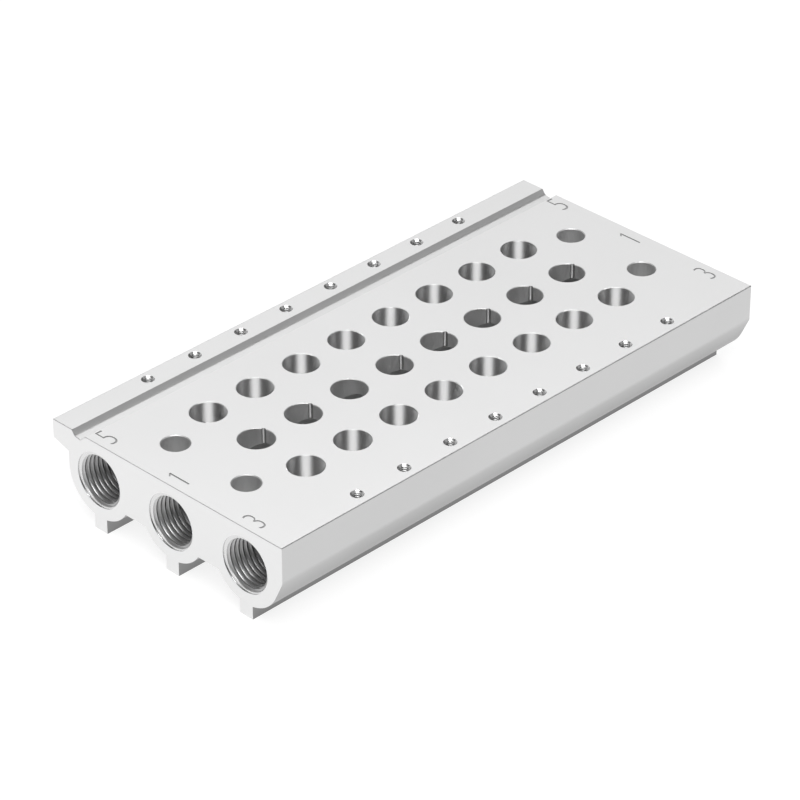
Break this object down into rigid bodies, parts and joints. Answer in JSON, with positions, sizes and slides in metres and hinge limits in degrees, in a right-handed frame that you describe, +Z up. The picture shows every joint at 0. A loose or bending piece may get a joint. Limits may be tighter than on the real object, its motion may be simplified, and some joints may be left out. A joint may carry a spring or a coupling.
{
  "type": "valve manifold base",
  "caption": "Extruded aluminium manifold bar with three lengthwise channels, threaded end ports and a flat drilled seat for a row of small pneumatic valves.",
  "frame": {"origin": "on the plane of the foot soles, under the middle of the bar's box", "axes": "+X along the bar, +Y across it towards the lip, +Z up out of the valve seat"},
  "size_m": [0.1112, 0.0532, 0.0167],
  "materials": {
    "anodised_aluminium": "satin, clear anodised"
  },
  "bodies": {
    "root": {"manifold_base": "anodised_aluminium"}
  },
  "joints": []
}
